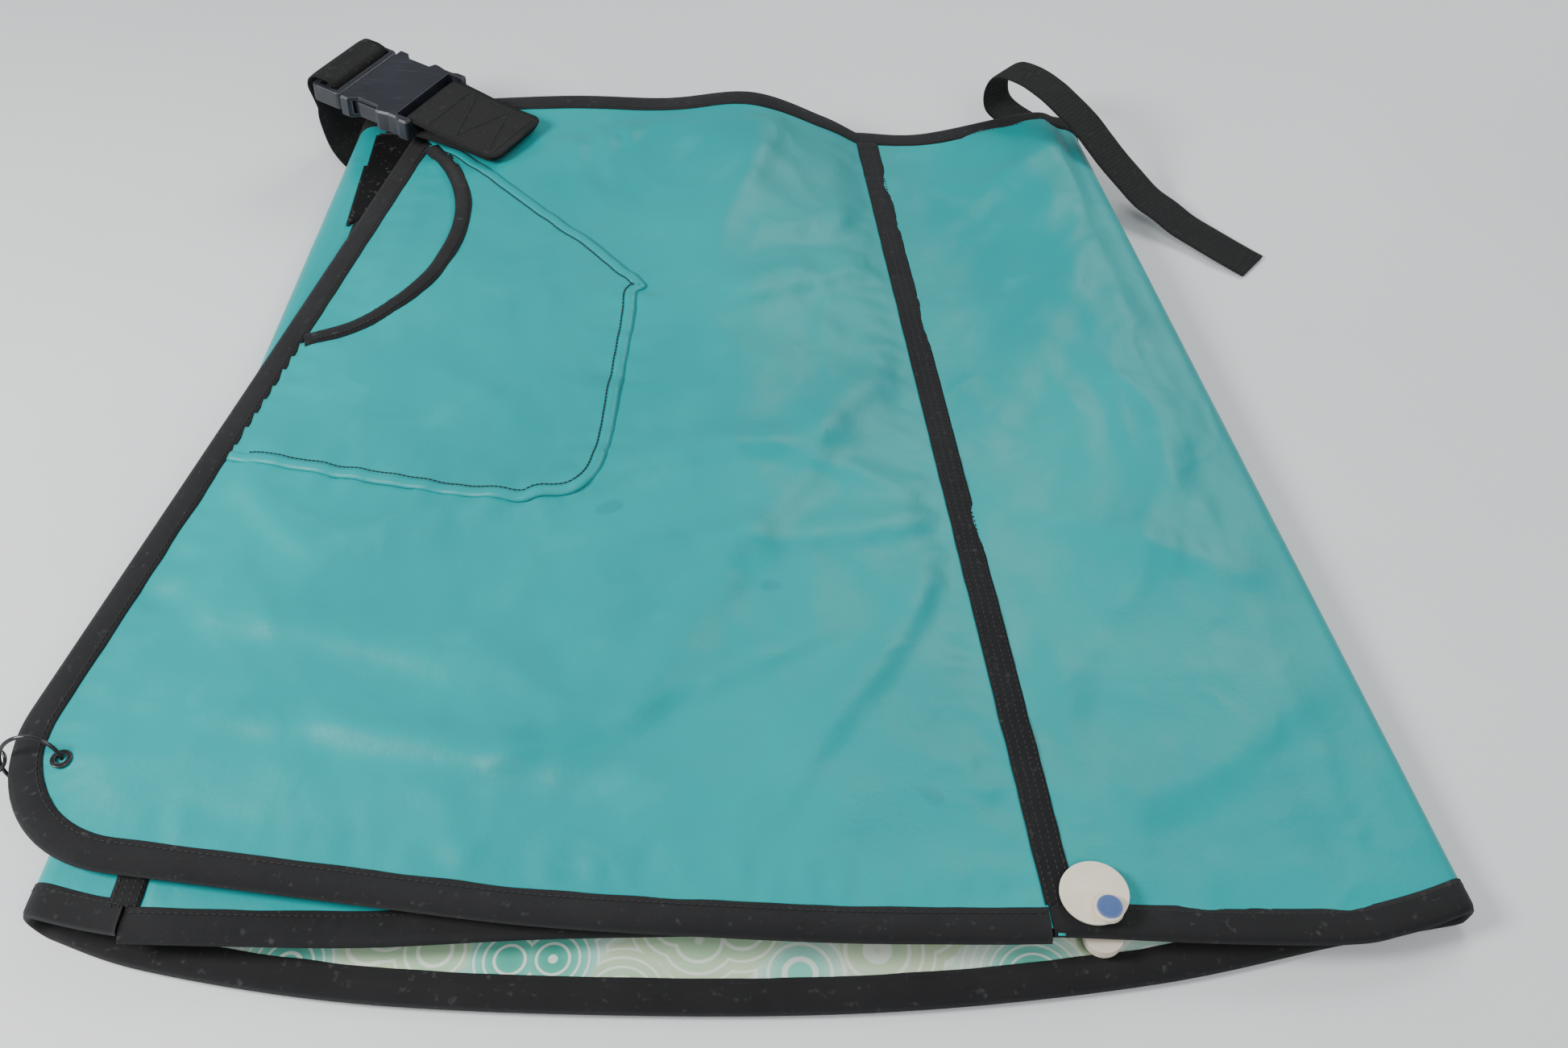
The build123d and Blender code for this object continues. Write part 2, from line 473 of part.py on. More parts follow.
boxes = [shape.bounding_box() for shape in NODES.values()]
low = Vector(*[min(tuple(box.min)[i] for box in boxes) for i in range(3)])
high = Vector(*[max(tuple(box.max)[i] for box in boxes) for i in range(3)])
shift = Vector(-(low.X + high.X) / 2, -(low.Y + high.Y) / 2, -low.Z)    # the origin is the box's bottom centre
for name, shape in NODES.items():
    export_step(Pos(*shift) * shape, f"parts/{name}.step")
print("shift", shift, "low", low, "high", high)
print("eyelet centre", Vector(*EYELET_AT, corner_z) + shift, "ring centre", Vector(*ring_centre) + shift)
print("buckle origin", Vector(*BUCKLE_AT) + shift, "buckle axis", buckle_x, "buckle up", buckle_z)
print("pin axis", Vector(*PIN_AT, DISC_Z) + shift)
print("seam near", Vector(SEAM_RIGHT[0], NEAR_Y, SEAM_TOP[0]) + shift,
      "seam far", Vector(SEAM_RIGHT[1], FAR_Y, SEAM_TOP[1]) + shift)
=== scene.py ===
import math
import random

import bpy
import numpy as np
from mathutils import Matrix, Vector, noise
from mathutils.bvhtree import BVHTree


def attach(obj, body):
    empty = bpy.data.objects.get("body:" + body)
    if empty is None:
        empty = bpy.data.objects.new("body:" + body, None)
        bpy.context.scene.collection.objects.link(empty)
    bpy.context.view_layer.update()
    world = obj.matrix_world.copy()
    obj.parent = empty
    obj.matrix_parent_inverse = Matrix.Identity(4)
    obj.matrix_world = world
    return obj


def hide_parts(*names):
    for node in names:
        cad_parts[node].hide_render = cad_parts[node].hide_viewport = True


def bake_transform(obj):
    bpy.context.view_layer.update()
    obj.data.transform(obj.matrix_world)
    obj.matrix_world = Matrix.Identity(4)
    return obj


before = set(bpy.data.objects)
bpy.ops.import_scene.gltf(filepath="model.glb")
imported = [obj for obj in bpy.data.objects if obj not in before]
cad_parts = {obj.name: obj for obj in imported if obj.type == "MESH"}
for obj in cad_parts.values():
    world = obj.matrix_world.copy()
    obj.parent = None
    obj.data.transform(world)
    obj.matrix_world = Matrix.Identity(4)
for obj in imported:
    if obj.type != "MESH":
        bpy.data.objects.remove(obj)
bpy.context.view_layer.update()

random.seed(7)

# A lead apron skirt lying closed on a table. Plan dimensions below are in millimetres from the middle of the hem,
# as the garment is drafted; ORIGIN is where that point lies in the row frame. Everything built is in metres.

MM = 0.001
ORIGIN = Vector((0.01375, -0.28062, 0.0))
NEAR_Y, FAR_Y, WAIST_Y = -45.0, 575.0, 560.0
PANEL = 3.85
TAPE_WIDTH = 15.0
BASE_Z = (0.7, 3.1)
LEFT_X, LEFT_R = (-297.0, -256.0), (9.0, 14.0)
RIGHT_X, RIGHT_R = (304.0, 196.0), (6.5, 13.0)
SEAM_RIGHT, SEAM_TOP = (124.5, 57.5), (21.5, 17.0)
SEAM_LEFT = (-253.0, -229.0)
RIGHT_WRAP = ([(230.0, 15.2), (180.0, 17.6)], [(166.0, 32.0), (100.0, 16.0)])
FLAP_TOP = ([(60.0, 23.5), (-20.0, 24.5), (-110.0, 25.0), (-190.0, 25.2), (-335.0, 24.8)],
            [(36.0, 30.0), (-7.0, 47.5), (-60.0, 43.0), (-126.0, 44.5), (-240.0, 38.5)])
UNDER_TOP = ([(-160.0, 17.4), (-60.0, 16.0), (40.0, 14.4), (120.0, 11.8), (190.0, 10.8)],
             [(-170.0, 33.0), (-90.0, 34.0), (-20.0, 33.5), (30.0, 15.5), (62.0, 11.4)])
BACK_HEM = [(-340, 14), (-296, 6), (-243, -11), (-154, -25), (-40, -30), (60, -28), (159, -17), (240, 0), (296, 10),
            (340, 20)]
FRONT_HEM = [(-340, 20), (-296, 6), (-241, -5), (-160, -8), (-40, -4), (40, -8), (125, -5), (228, -6), (262, -1),
             (296, 10), (340, 24)]
FLAP_EDGE, FLAP_CORNER = (-206.4, WAIST_Y), (-332.0, 30.0)
FLAP_HEM = [(-241.0, 17.5), (-150.0, 5.0), (-74.0, -4.0), (22.0, -9.0), (85.0, -9.0), (119.0, -8.0)]
UNDER_EDGE, UNDER_CORNER = (40.0, WAIST_Y), (180.0, 14.0)
UNDER_HEM = [(96.0, 5.5), (20.0, -1.0), (-80.0, -4.0), (-150.0, -8.0), (-200.0, -8.0), (-250.0, -7.0)]
CORNER_R = 64.0
POCKET = [(-206.0, 522.0), (-76.0, 391.0), (-69.0, 366.0), (-72.0, 300.0), (-79.0, 232.0), (-104.0, 217.0),
          (-136.0, 218.0), (-290.0, 254.0)]
MOUTH = [(-214.0, 517.0), (-186.0, 475.0), (-177.0, 432.0), (-189.0, 380.0), (-222.0, 346.0), (-262.0, 333.0)]


# ---- curves and the garment's surfaces ---------------------------------------------------------------------------

def smooth(points, count=60):
    """Points along a smooth curve through points."""
    p = np.array([points[0], *points, points[-1]], float)
    p[0], p[-1] = 2 * p[1] - p[2], 2 * p[-2] - p[-3]
    rows = []
    share = max(2, count // (len(points) - 1))
    for i in range(1, len(p) - 2):
        t = np.linspace(0, 1, share, endpoint=i == len(p) - 3)[:, None]
        a, b, c, d = p[i - 1], p[i], p[i + 1], p[i + 2]
        rows.append(0.5 * (2 * b + (c - a) * t + (2 * a - 5 * b + 4 * c - d) * t ** 2
                           + (3 * b - a - 3 * c + d) * t ** 3))
    return np.concatenate(rows)


def even(points, step):
    """The same route with points a steady step apart."""
    points = np.asarray(points, float)
    run = np.concatenate([[0], np.cumsum(np.linalg.norm(np.diff(points, axis=0), axis=1))])
    at = np.linspace(0, run[-1], max(3, int(run[-1] / step) + 1))
    return np.stack([np.interp(at, run, points[:, k]) for k in range(points.shape[1])], 1)


def along(pair, y):
    return pair[0] + (pair[1] - pair[0]) * (y - NEAR_Y) / (FAR_Y - NEAR_Y)


def fronts(first, tops):
    """The near and far top lines of a front layer, as matching (x, z) rows."""
    return [smooth([first(i), *tops[i]], 120) for i in (0, 1)]


FLAP_LINES = fronts(lambda i: (SEAM_RIGHT[i], SEAM_TOP[i]), FLAP_TOP)
UNDER_LINES = fronts(lambda i: (SEAM_LEFT[i], BASE_Z[i] + 2 * LEFT_R[i]), UNDER_TOP)
WRAP_LINES = [smooth([(RIGHT_X[i] - RIGHT_R[i], BASE_Z[i] + 2 * RIGHT_R[i]), *RIGHT_WRAP[i],
                      (SEAM_RIGHT[i], SEAM_TOP[i])], 60) for i in (0, 1)]


def height(lines, x, y):
    """Height of a front layer's top face at a plan point."""
    t = (y - NEAR_Y) / (FAR_Y - NEAR_Y)
    row = lines[0] + (lines[1] - lines[0]) * t
    order = np.argsort(row[:, 0])
    return float(np.interp(x, row[order, 0], row[order, 1]))


def loop(y, depth=0.0, arc=14):
    """The back panel's cross-section at y as (x, z) points, from the left seam round both folds to the right one."""
    base, left_r, right_r = along(BASE_Z, y), along(LEFT_R, y), along(RIGHT_R, y)
    left, right = along(LEFT_X, y) + left_r, along(RIGHT_X, y) - right_r
    rows = [(x, base + 2 * left_r - depth) for x in np.linspace(along(SEAM_LEFT, y), left, 8)]
    for a in np.linspace(90, 270, arc):
        r = left_r - depth
        rows.append((left + r * math.cos(math.radians(a)), base + left_r + r * math.sin(math.radians(a))))
    rows += [(x, base + depth) for x in np.linspace(left, right, 150)[1:-1]]
    for a in np.linspace(-90, 90, arc):
        r = right_r - depth
        rows.append((right + r * math.cos(math.radians(a)), base + right_r + r * math.sin(math.radians(a))))
    t = (y - NEAR_Y) / (FAR_Y - NEAR_Y)
    wrap = WRAP_LINES[0] + (WRAP_LINES[1] - WRAP_LINES[0]) * t
    rows += [(x, z - depth) for x, z in wrap[1:]]
    return np.array(rows)


BACK_CURVE, FRONT_CURVE = smooth(BACK_HEM, 120), smooth(FRONT_HEM, 120)


def hem_y(index, x):
    """Where the back panel's hem runs: its back part for the middle of the loop, the front part for the wraps."""
    curve = BACK_CURVE if 14 <= index < 14 + 158 else FRONT_CURVE
    return float(np.interp(x, curve[:, 0], curve[:, 1]))


def outline(edge, corner, hem, inset=0.0):
    """A flap's outline from its waist corner down its edge, round its corner and along its hem."""
    edge, corner, first = Vector(edge), Vector(corner), Vector(hem[0])
    down, out = (corner - edge).normalized(), (first - corner).normalized()
    turn = math.pi - down.angle(out)
    cut = CORNER_R / math.tan(turn / 2)
    start, end = corner - down * cut, corner + out * cut
    middle = (start + end) / 2 - corner
    centre = corner + middle.normalized() * math.hypot(cut, CORNER_R)
    a0 = math.atan2(start.y - centre.y, start.x - centre.x)
    a1 = math.atan2(end.y - centre.y, end.x - centre.x)
    if a1 - a0 > math.pi:
        a1 -= 2 * math.pi
    if a0 - a1 > math.pi:
        a1 += 2 * math.pi
    arc = [(centre.x + CORNER_R * math.cos(a), centre.y + CORNER_R * math.sin(a)) for a in np.linspace(a0, a1, 20)]
    route = even([tuple(edge), *arc, *smooth(hem, 60)[1:]], 2.0)
    side = 1.0 if corner.x < edge.x else -1.0
    way = np.gradient(route, axis=0)
    way /= np.linalg.norm(way, axis=1)[:, None]
    inward = np.stack([-way[:, 1], way[:, 0]], 1) * side
    return route + inward * inset


def inside(polygon, x, y):
    """Whether a plan point is inside a polygon."""
    px, py = polygon[:, 0], polygon[:, 1]
    qx, qy = np.roll(px, -1), np.roll(py, -1)
    crosses = (py > y) != (qy > y)
    with np.errstate(divide="ignore", invalid="ignore"):
        at = px + (y - py) / (qy - py) * (qx - px)
    return bool(np.count_nonzero(crosses & (x < at)) % 2)


# ---- creases in the cloth ----------------------------------------------------------------------------------------

# Each soft fold: from, to, half width and height, in millimetres.
FOLDS = [
    ((-150, 205), (30, 265), 17, 3.0), ((-90, 170), (90, 215), 15, 2.4), ((-40, 120), (70, 330), 18, 2.6),
    ((-235, 150), (-120, 120), 16, 2.2), ((-200, 90), (-40, 60), 14, 2.4), ((20, 70), (95, 190), 12, 2.2),
    ((-20, 420), (10, 540), 16, 2.6), ((-50, 330), (40, 400), 15, 2.0), ((40, 440), (75, 500), 9, 1.6),
    ((-120, 60), (20, 130), 12, 2.0), ((-260, 230), (-210, 190), 12, 1.8), ((150, 130), (215, 260), 20, 2.4),
    ((130, 300), (190, 420), 18, 2.2), ((170, 60), (255, 110), 16, 2.0), ((120, 470), (180, 520), 12, 2.0),
    ((150, 220), (240, 180), 14, 1.6), ((-150, 480), (-60, 530), 14, 2.0), ((-5, 250), (60, 240), 10, 1.4),
]


def creases(x, y):
    """How far the cloth stands off its lead sheets at a plan point, in millimetres."""
    rise = 0.0
    for (ax, ay), (bx, by), width, tall in FOLDS:
        dx, dy = bx - ax, by - ay
        length = math.hypot(dx, dy)
        t = ((x - ax) * dx + (y - ay) * dy) / length ** 2
        wander = 7.0 * noise.noise(Vector((x * 0.013, y * 0.013, ax * 0.1)))
        off = ((x - ax) * dy - (y - ay) * dx) / length + wander
        if -0.3 < t < 1.3 and abs(off) < 3 * width:
            fade = math.sin(math.pi * min(1.0, max(0.0, (t + 0.3) / 1.6))) ** 0.8
            lean = width * (0.55 if off > 0 else 1.0)
            rise += 1.5 * tall * fade * math.exp(-(off / lean) ** 2)
    warp = noise.noise(Vector((x * 0.01, y * 0.01, 5.0)))
    rise += 3.2 * (0.5 - abs(noise.noise(Vector((x * 0.010 + warp, y * 0.016, 1.0)))))
    rise += 1.7 * (0.4 - abs(noise.noise(Vector((x * 0.024 + 2 * warp, y * 0.020 - warp, 9.0)))))
    rise += 0.55 * noise.noise(Vector((x * 0.06 + warp, y * 0.045, 3.0)))
    rise += 0.16 * noise.noise(Vector((x * 0.16, y * 0.13, 6.0)))
    return rise


def gathers(distance, run, seed):
    """Short puckers that a line of stitching pulls into the cloth beside it."""
    pull = math.exp(-((distance - 4) / 11.0) ** 2)
    return 1.8 * pull * noise.noise(Vector((run * 0.085, distance * 0.02, seed)))


# ---- building ----------------------------------------------------------------------------------------------------

def make(name, verts, faces, material, uvs=None, body="garment"):
    """A mesh object from points in drafting millimetres."""
    mesh = bpy.data.meshes.new(name)
    mesh.from_pydata([tuple(Vector(v) * MM + ORIGIN) for v in verts], [], faces)
    if uvs is not None:
        layer = mesh.uv_layers.new(name="UVMap")
        for item in mesh.loops:
            layer.data[item.index].uv = uvs[item.vertex_index]
    mesh.materials.append(material)
    mesh.validate()
    for face in mesh.polygons:
        face.use_smooth = True
    piece = bpy.data.objects.new(name, mesh)
    bpy.context.scene.collection.objects.link(piece)
    if body:
        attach(piece, body)
    return piece


def surface_of(piece):
    """A height function, in drafting millimetres, that follows a piece's top."""
    tree = BVHTree.FromPolygons([v.co.copy() for v in piece.data.vertices],
                                [tuple(f.vertices) for f in piece.data.polygons])

    def top(x, y):
        spot = Vector((x, y, 0)) * MM + ORIGIN
        hit = tree.ray_cast(Vector((spot.x, spot.y, 1.0)), Vector((0, 0, -1)))[0]
        if hit is None:
            hit = tree.find_nearest(Vector((spot.x, spot.y, 0.03)))[0]
        return (hit.z - ORIGIN.z) / MM
    return top


def thicken(piece, thickness, direction=-1.0):
    solid = piece.modifiers.new("thickness", "SOLIDIFY")
    solid.thickness = thickness * MM
    solid.offset = direction
    return piece


def draped(name, polygon, top, material, cell=3.0, lift=0.0, ruffle=1.0, seams=()):
    """A cloth over a plan polygon, lying on the height function top, creased away from its stitched lines."""
    low, high = polygon.min(0) - cell, polygon.max(0) + cell
    xs, ys = np.arange(low[0], high[0], cell), np.arange(low[1], high[1], cell)
    index, verts = {}, []
    border = even(np.vstack([polygon, polygon[:1]]), 4.0)
    for i, x in enumerate(xs):
        for j, y in enumerate(ys):
            if not inside(polygon, x, y):
                continue
            gap = float(np.min(np.hypot(border[:, 0] - x, border[:, 1] - y)))
            ease = min(1.0, max(0.0, (gap - 11.0) / 22.0))
            z = top(x, y) + lift + ruffle * creases(x, y) * ease * ease * (3 - 2 * ease)
            for seam, seed in seams:
                away = np.hypot(seam[:, 0] - x, seam[:, 1] - y)
                k = int(np.argmin(away))
                if away[k] < 45:
                    z += gathers(float(away[k]), k * 2.0, seed) * min(1.0, max(0.0, (gap - 11.0) / 5.0))
            index[i, j] = len(verts)
            verts.append((x, y, z))
    faces = []
    for i in range(len(xs)):
        for j in range(len(ys)):
            ring = [(i, j), (i + 1, j), (i + 1, j + 1), (i, j + 1)]
            if all(key in index for key in ring):
                faces.append([index[key] for key in ring])
    return make(name, verts, faces, material)


def strip(name, sections, material, flip=False, body="garment"):
    """A skin through equal cross-sections, each a list of points, with UVs in millimetres round and along."""
    sections = [np.asarray(s, float) for s in sections]
    n = len(sections[0])
    middles = np.array([s.mean(0) for s in sections])
    run = np.concatenate([[0], np.cumsum(np.linalg.norm(np.diff(middles, axis=0), axis=1))])
    girth = np.concatenate([[0], np.cumsum(np.linalg.norm(np.diff(sections[0], axis=0), axis=1))])
    verts = [tuple(p) for s in sections for p in s]
    uvs = [(girth[k], run[i]) for i in range(len(sections)) for k in range(n)]
    faces = []
    for i in range(len(sections) - 1):
        for k in range(n):
            a, b = i * n + k, i * n + (k + 1) % n
            face = [a, b, b + n, a + n]
            faces.append(face[::-1] if flip else face)
    faces.append(list(range(n))[::-1])
    faces.append([(len(sections) - 1) * n + k for k in range(n)])
    return make(name, verts, faces, material, uvs, body)


def frames(route, up):
    """Along, across and up directions at every point of a route."""
    way = np.gradient(route, axis=0)
    way /= np.linalg.norm(way, axis=1)[:, None]
    up = np.broadcast_to(np.asarray(up, float), route.shape)
    across = np.cross(way, up)
    across /= np.linalg.norm(across, axis=1)[:, None]
    return way, across, np.cross(across, way)


def tape(name, route, inward, normal, material, thick=PANEL + 1.3, width=TAPE_WIDTH, seed=0.0):
    """Binding folded over a panel's edge: route is the edge at mid thickness, inward and normal its directions."""
    sections = []
    for i, (p, a, n) in enumerate(zip(route, inward, normal)):
        pucker = 0.45 * noise.noise(Vector((i * 0.16, seed, 0.0))) + 0.25 * noise.noise(Vector((i * 0.5, seed, 4.0)))
        wave = 0.6 * noise.noise(Vector((i * 0.09, seed, 8.0)))
        h = thick / 2
        profile = [(width + wave, h - 0.7), (width + wave - 0.3, h + 0.05 + pucker * 0.5), (width - 2.6, h - 0.25),
                   (width - 4.0, h + 0.05 + pucker), (width * 0.5, h + 0.5 + pucker), (3.2, h + 0.3 + pucker * 0.4),
                   (1.0, h * 0.72), (0.0, 0.0), (1.0, -h * 0.72), (3.2, -h), (width * 0.5, -h - 0.05),
                   (width - 4.0, -h), (width + wave - 0.3, -h), (width + wave, -h + 0.7)]
        sections.append([p + a * u + n * v for u, v in profile])
    return strip(name, sections, material, flip=True)


def stitches(name, routes, material, pitch=2.6, long=1.9, thick=0.5):
    """Rows of thread: every stitch is a small capsule lying along its route."""
    verts, faces = [], []
    for route, normal in routes:
        route = np.asarray(route, float)
        spots = even(np.hstack([route, np.broadcast_to(normal, route.shape)]), pitch)
        for k in range(len(spots) - 1):
            p, n = spots[k, :3], spots[k, 3:]
            way = spots[k + 1, :3] - p
            way = way / (np.linalg.norm(way) + 1e-9)
            side = np.cross(way, n)
            base = len(verts)
            for t, r in ((-0.5, 0.25), (-0.3, 0.9), (0.0, 1.0), (0.3, 0.9), (0.5, 0.25)):
                for a in range(5):
                    turn = math.tau * a / 5
                    verts.append(tuple(p + way * t * long + (side * math.cos(turn) + n * (math.sin(turn) * 0.7 + 0.1))
                                       * thick * r * 0.5))
            for ring in range(4):
                for a in range(5):
                    b = base + ring * 5
                    faces.append([b + a, b + (a + 1) % 5, b + 5 + (a + 1) % 5, b + 5 + a])
    return make(name, verts, faces, material)


def webbing(name, route, up, width, thick, material, rib=2.2, groove=0.12, soft_end=0.0, body="garment"):
    """Ribbed woven tape along a route; up is the direction that its face looks, at every point."""
    route = np.asarray(route, float)
    way, across, face = frames(route, up)
    run = np.concatenate([[0], np.cumsum(np.linalg.norm(np.diff(route, axis=0), axis=1))])
    cols = 13
    sections = []
    for i in range(len(route)):
        bump = groove * math.sin(math.tau * run[i] / rib)
        trim = 1.0
        for end in (run[i], run[-1] - run[i]):
            if soft_end and end < soft_end:
                trim = min(trim, 1 - (soft_end - math.sqrt(max(0.0, soft_end ** 2 - (soft_end - end) ** 2))) * 2 / width)
        w = width * trim
        us = np.linspace(-0.5, 0.5, cols)
        top = [route[i] + across[i] * u * w + face[i] * (thick / 2 + bump * (1 - abs(2 * u) ** 8)) *
               (1 - 0.6 * abs(2 * u) ** 14) for u in us]
        low = [route[i] + across[i] * u * w - face[i] * (thick / 2 + bump) * (1 - 0.6 * abs(2 * u) ** 14)
               for u in us[::-1]]
        sections.append(top + low)
    return strip(name, sections, material, body=body)


# ---- materials ---------------------------------------------------------------------------------------------------

class Nodes:
    """A material's node tree with short helpers."""

    def __init__(self, name, **shader):
        self.material = bpy.data.materials.new(name)
        self.material.use_nodes = True
        self.tree = self.material.node_tree
        self.shader = next(n for n in self.tree.nodes if n.type == "BSDF_PRINCIPLED")
        for key, value in shader.items():
            self.shader.inputs[key.replace("_", " ")].default_value = value
        self.place = self.add("ShaderNodeTexCoord")

    def add(self, kind, **values):
        node = self.tree.nodes.new(kind)
        for key, value in values.items():
            if key in node.inputs:
                node.inputs[key].default_value = value
            else:
                setattr(node, key, value)
        return node

    def link(self, a, b):
        self.tree.links.new(a, b)

    def noise(self, scale, detail=3.0, source="Object", stretch=(1, 1, 1)):
        mapping = self.add("ShaderNodeMapping")
        mapping.inputs["Scale"].default_value = stretch
        self.link(self.place.outputs[source], mapping.inputs["Vector"])
        texture = self.add("ShaderNodeTexNoise", Scale=scale, Detail=detail)
        self.link(mapping.outputs[0], texture.inputs["Vector"])
        return texture.outputs["Fac"]

    def wave(self, scale, source="UV", direction="X", distort=0.0, turn=0.0):
        mapping = self.add("ShaderNodeMapping")
        mapping.inputs["Rotation"].default_value = (0, 0, turn)
        self.link(self.place.outputs[source], mapping.inputs["Vector"])
        texture = self.add("ShaderNodeTexWave", Scale=scale, Distortion=distort, bands_direction=direction)
        self.link(mapping.outputs[0], texture.inputs["Vector"])
        return texture.outputs["Fac"]

    def ramp(self, source, *stops):
        ramp = self.add("ShaderNodeValToRGB")
        while len(ramp.color_ramp.elements) < len(stops):
            ramp.color_ramp.elements.new(0.5)
        for element, (at, colour) in zip(ramp.color_ramp.elements, stops):
            element.position = at
            element.color = (*colour, 1.0)
        self.link(source, ramp.inputs[0])
        return ramp.outputs[0]

    def mix(self, a, b, factor, kind="MIX"):
        node = self.add("ShaderNodeMix", data_type="RGBA", blend_type=kind)
        for value, socket in ((factor, node.inputs[0]), (a, node.inputs[6]), (b, node.inputs[7])):
            if hasattr(value, "links"):
                self.link(value, socket)
            elif isinstance(value, tuple):
                socket.default_value = (*value, 1.0)
            else:
                socket.default_value = value
        return node.outputs[2]

    def colour(self, socket):
        self.link(socket, self.shader.inputs["Base Color"])

    def rough(self, source, low, high):
        scale = self.add("ShaderNodeMapRange")
        scale.inputs["To Min"].default_value, scale.inputs["To Max"].default_value = low, high
        self.link(source, scale.inputs["Value"])
        self.link(scale.outputs[0], self.shader.inputs["Roughness"])

    def bump(self, *layers):
        last = None
        for source, strength, distance in layers:
            node = self.add("ShaderNodeBump", Strength=strength, Distance=distance)
            self.link(source, node.inputs["Height"])
            if last:
                self.link(last, node.inputs["Normal"])
            last = node.outputs[0]
        self.link(last, self.shader.inputs["Normal"])


def teal_nylon():
    m = Nodes("teal_nylon", Sheen_Weight=0.04, Specular_IOR_Level=0.32)
    broad, fine, fleck = m.noise(9.0), m.noise(420.0, 2.0), m.noise(38.0, 5.0)
    base = m.ramp(broad, (0.3, (0.0, 0.285, 0.295)), (0.7, (0.0, 0.345, 0.350)))
    worn = m.mix(base, (0.03, 0.44, 0.44), m.ramp(fleck, (0.60, (0, 0, 0)), (0.85, (0.3, 0.3, 0.3))))
    spots = m.ramp(m.noise(24.0, 1.0), (0.78, (0, 0, 0)), (0.80, (0.25, 0.25, 0.25)))
    m.colour(m.mix(worn, (0.02, 0.16, 0.18), spots))
    m.rough(fleck, 0.34, 0.56)
    ridged = m.add("ShaderNodeTexNoise", Scale=13.0, Detail=3.0, Distortion=0.9, noise_type="RIDGED_MULTIFRACTAL")
    m.link(m.place.outputs["Object"], ridged.inputs["Vector"])
    small = m.add("ShaderNodeTexNoise", Scale=34.0, Detail=2.0, Distortion=1.2, noise_type="RIDGED_MULTIFRACTAL")
    m.link(m.place.outputs["Object"], small.inputs["Vector"])
    m.bump((ridged.outputs["Fac"], 0.5, 0.0055), (small.outputs["Fac"], 0.35, 0.0016), (fine, 0.18, 0.0006))
    return m.material


def black_tape(name="black_tape", tone=1.0, rib=900.0):
    m = Nodes(name, Sheen_Weight=0.05, Roughness=0.8, Specular_IOR_Level=0.2)
    twill = m.wave(0.9, turn=0.8, distort=0.6)
    lint = m.ramp(m.noise(260.0, 6.0), (0.62, (0, 0, 0)), (0.82, (0.6, 0.6, 0.6)))
    base = m.ramp(m.noise(30.0), (0.3, (0.006 * tone, 0.006 * tone, 0.007 * tone)),
                  (0.75, (0.013 * tone, 0.013 * tone, 0.014 * tone)))
    ribbed = m.mix(base, (0.030 * tone, 0.030 * tone, 0.031 * tone), m.ramp(twill, (0.4, (0, 0, 0)), (1.0, (0.7,) * 3)))
    m.colour(m.mix(ribbed, (0.10, 0.10, 0.10), lint))
    m.rough(twill, 0.62, 0.9)
    m.bump((twill, 0.5, 0.0005), (m.noise(160.0, 4.0), 0.4, 0.0008))
    return m.material


def ribbed_webbing(name, tone=1.0, along_scale=0.7, fuzz=0.4):
    m = Nodes(name, Sheen_Weight=0.05, Specular_IOR_Level=0.2)
    warp, weft = m.wave(1.3, direction="X"), m.wave(along_scale, direction="Y", distort=0.4)
    cross = m.mix(warp, weft, 0.6, "MULTIPLY")
    lint = m.ramp(m.noise(300.0, 6.0), (0.60, (0, 0, 0)), (0.85, (fuzz,) * 3))
    base = m.ramp(cross, (0.0, (0.004 * tone, 0.004 * tone, 0.005 * tone)), (0.8, (0.024 * tone,) * 3))
    m.colour(m.mix(base, (0.13, 0.125, 0.115), lint))
    m.rough(weft, 0.5, 0.85)
    m.bump((cross, 0.7, 0.0007), (m.noise(240.0, 3.0), 0.3, 0.0006))
    return m.material


def printed_lining():
    m = Nodes("printed_lining", Sheen_Weight=0.15)
    cells = m.add("ShaderNodeTexVoronoi", Scale=30.0)
    m.link(m.place.outputs["Object"], cells.inputs["Vector"])
    many = m.add("ShaderNodeMath", operation="MULTIPLY")
    many.inputs[1].default_value = 58.0
    m.link(cells.outputs["Distance"], many.inputs[0])
    veins = m.add("ShaderNodeMath", operation="SINE")
    m.link(many.outputs[0], veins.inputs[0])
    tone = m.ramp(cells.outputs["Distance"], (0.15, (0.05, 0.40, 0.30)), (0.45, (0.20, 0.62, 0.50)),
                  (0.7, (0.62, 0.78, 0.66)))
    leaf = m.mix(tone, (0.55, 0.68, 0.40), m.ramp(cells.outputs["Color"], (0.45, (0, 0, 0)), (0.5, (0.7, 0.7, 0.7))))
    m.colour(m.mix(leaf, (0.84, 0.90, 0.80), m.ramp(veins.outputs[0], (0.55, (0, 0, 0)), (0.8, (0.8, 0.8, 0.8)))))
    m.rough(m.noise(60.0), 0.42, 0.62)
    m.bump((m.noise(90.0, 4.0), 0.3, 0.0012))
    return m.material


